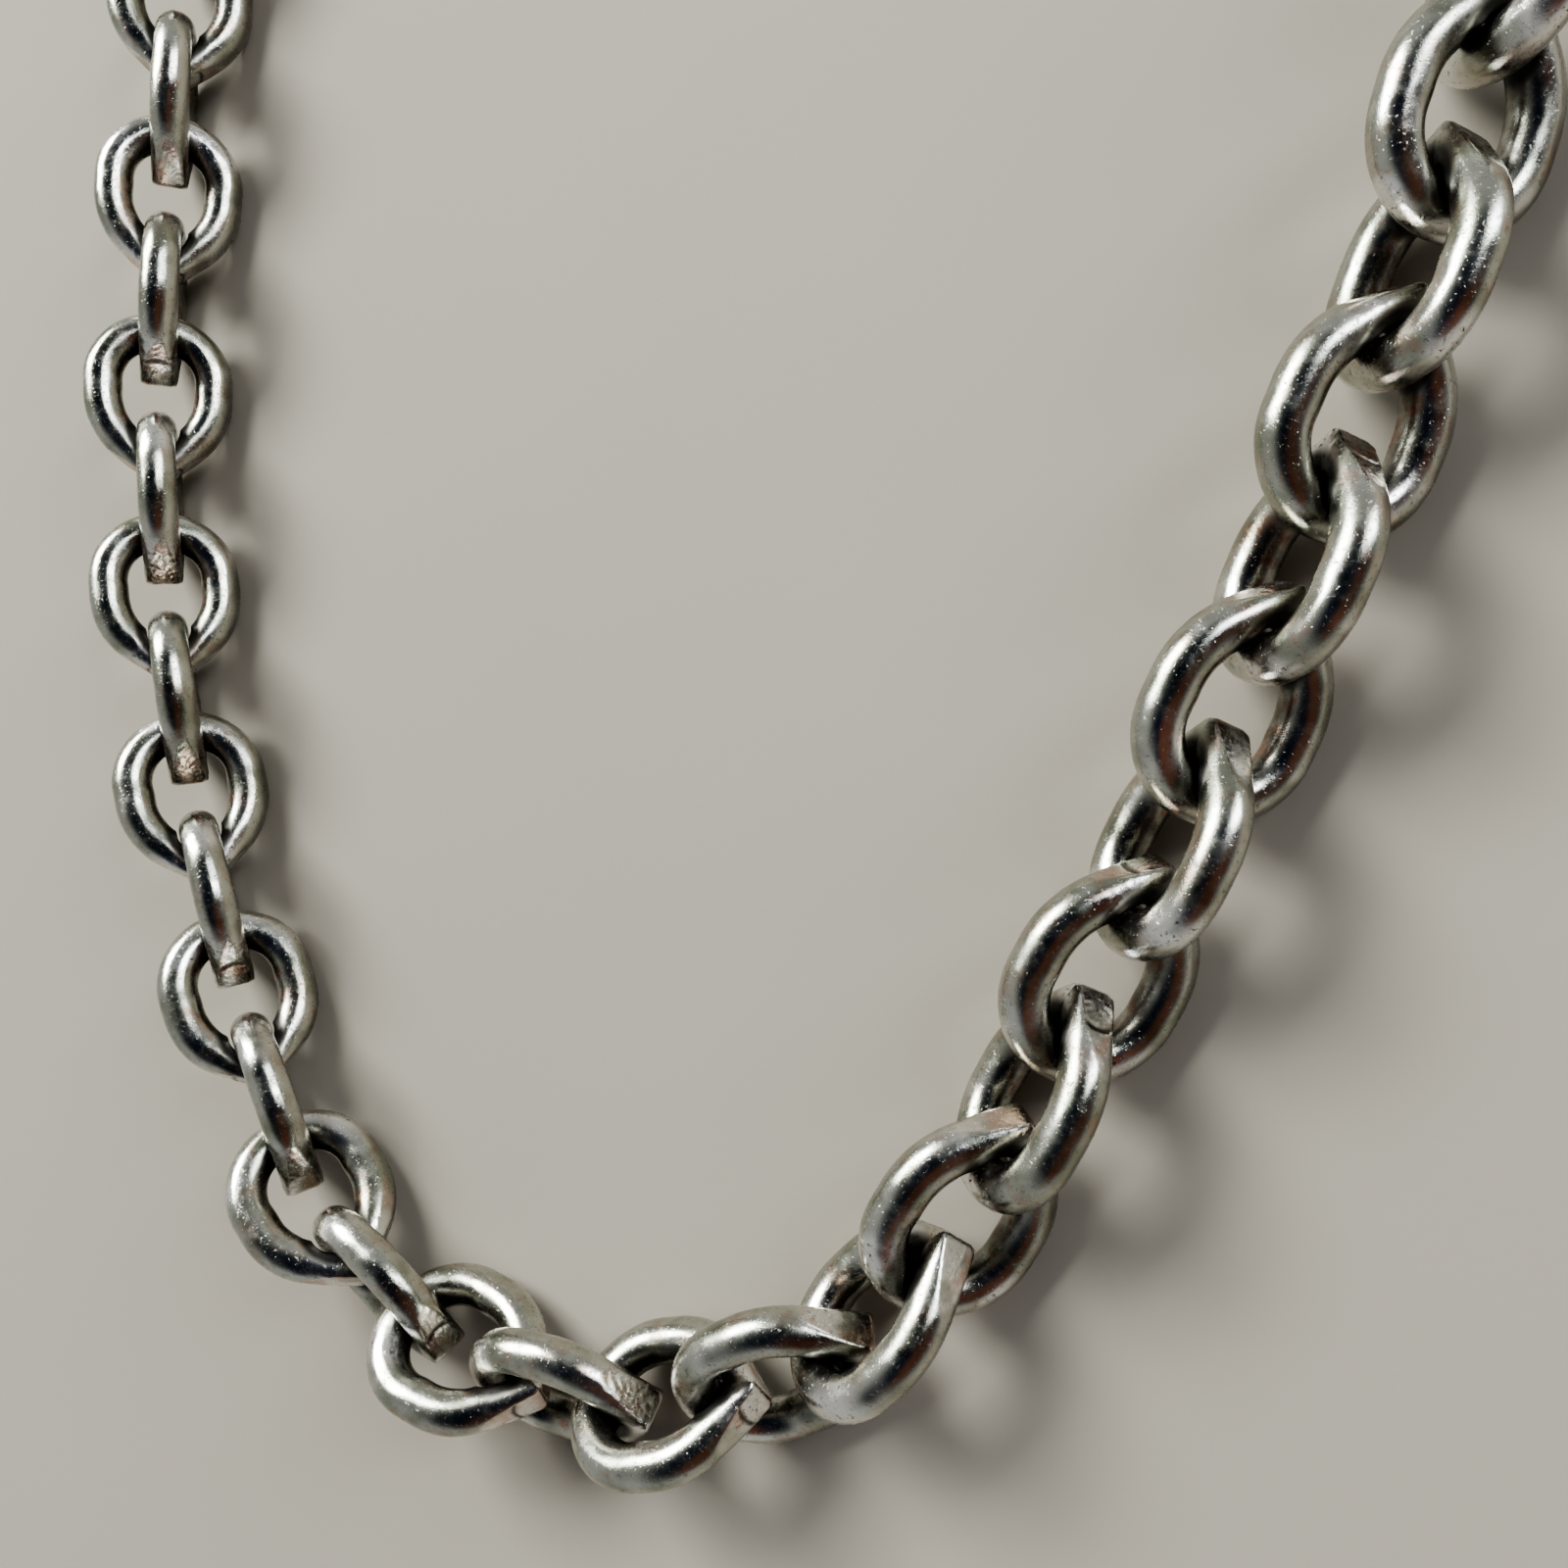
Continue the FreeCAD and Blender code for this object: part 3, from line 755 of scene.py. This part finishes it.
def make_camera(bottom_link):
    data = bpy.data.cameras.new("camera")
    data.lens = LENS
    data.sensor_width = 36.0
    data.clip_start = 0.002
    data.clip_end = 50.0
    camera = bpy.data.objects.new("camera", data)
    bpy.context.scene.collection.objects.link(camera)
    camera.matrix_world = look_at(bottom_link + CAMERA_FROM_BOTTOM_LINK,
                                  bottom_link + AIM_FROM_BOTTOM_LINK, CAMERA_UP)
    bpy.context.scene.camera = camera


def area_light(name, position, target, size, power, colour):
    data = bpy.data.lights.new(name, "AREA")
    data.shape = "RECTANGLE"
    data.size, data.size_y = size
    data.energy = power
    data.color = colour
    light = bpy.data.objects.new(name, data)
    bpy.context.scene.collection.objects.link(light)
    light.matrix_world = look_at(Vector(position), Vector(target), Vector((0, 0, 1)))


def make_lights():
    """A broad window-like light from the upper left and a weaker one from the right."""
    area_light("key", (-0.62, 0.55, 0.75), (0, 0, 0), (0.70, 0.55), 18.0, (0.965, 0.985, 0.955))
    area_light("fill", (0.75, 0.35, 0.40), (0, 0, 0), (0.30, 0.60), 4.5, (0.93, 0.96, 1.0))


def make_room():
    """What the silver reflects: a pale room, navy dark behind the camera, brown low on its right."""
    world = bpy.data.worlds.new("room")
    bpy.context.scene.world = world
    world.use_nodes = True
    n = Nodes(world.node_tree)
    output = n.tree.nodes.new("ShaderNodeOutputWorld")
    background = n.tree.nodes.new("ShaderNodeBackground")
    around = n.tree.nodes.new("ShaderNodeTexCoord").outputs["Generated"]
    dark = n.span(n.toward(around, (0.50, -0.18, 0.85)), 0.38, 0.84)
    brown = n.span(n.toward(around, (0.74, -0.56, 0.38)), 0.72, 0.95, 0.0, 0.85)
    above_floor = n.span(n.toward(around, (0, 0, 1)), 0.16, 0.36)
    brown = n.math("MULTIPLY", brown, above_floor)
    colour = n.mix(dark, PALE_ROOM, NAVY_DARK)
    colour = n.mix(brown, colour, BROWN_CORNER)
    n.link(colour, background.inputs["Color"])
    n.link(background.outputs[0], output.inputs["Surface"])


# ---- the object ----------------------------------------------------------------------------------

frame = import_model()

silver = silver_material()
cast = clasp_material()
spring = spring_material()

anchors = tips_and_axes(frame["joints"])
for number, node in enumerate(sorted(anchors)):
    if node.startswith("link_"):
        make_link(node, anchors[node], 100 + 7 * number, silver)

make_ring("end_ring", 31, silver)
make_ring("clasp_ring", 57, silver)

make_cast("clasp_body", 71, cast)
make_cast("clasp_lever", 83, cast)
make_rivet("clasp_pin", cast)
frame["nodes"]["clasp_spring"].data.materials.clear()
frame["nodes"]["clasp_spring"].data.materials.append(spring)

low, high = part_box("link_bottom")
make_floor()
make_camera((low + high) / 2)
make_lights()
make_room()

bpy.context.scene.view_settings.view_transform = "AgX"
bpy.context.scene.view_settings.look = "AgX - High Contrast"
bpy.context.scene.view_settings.exposure = -0.15
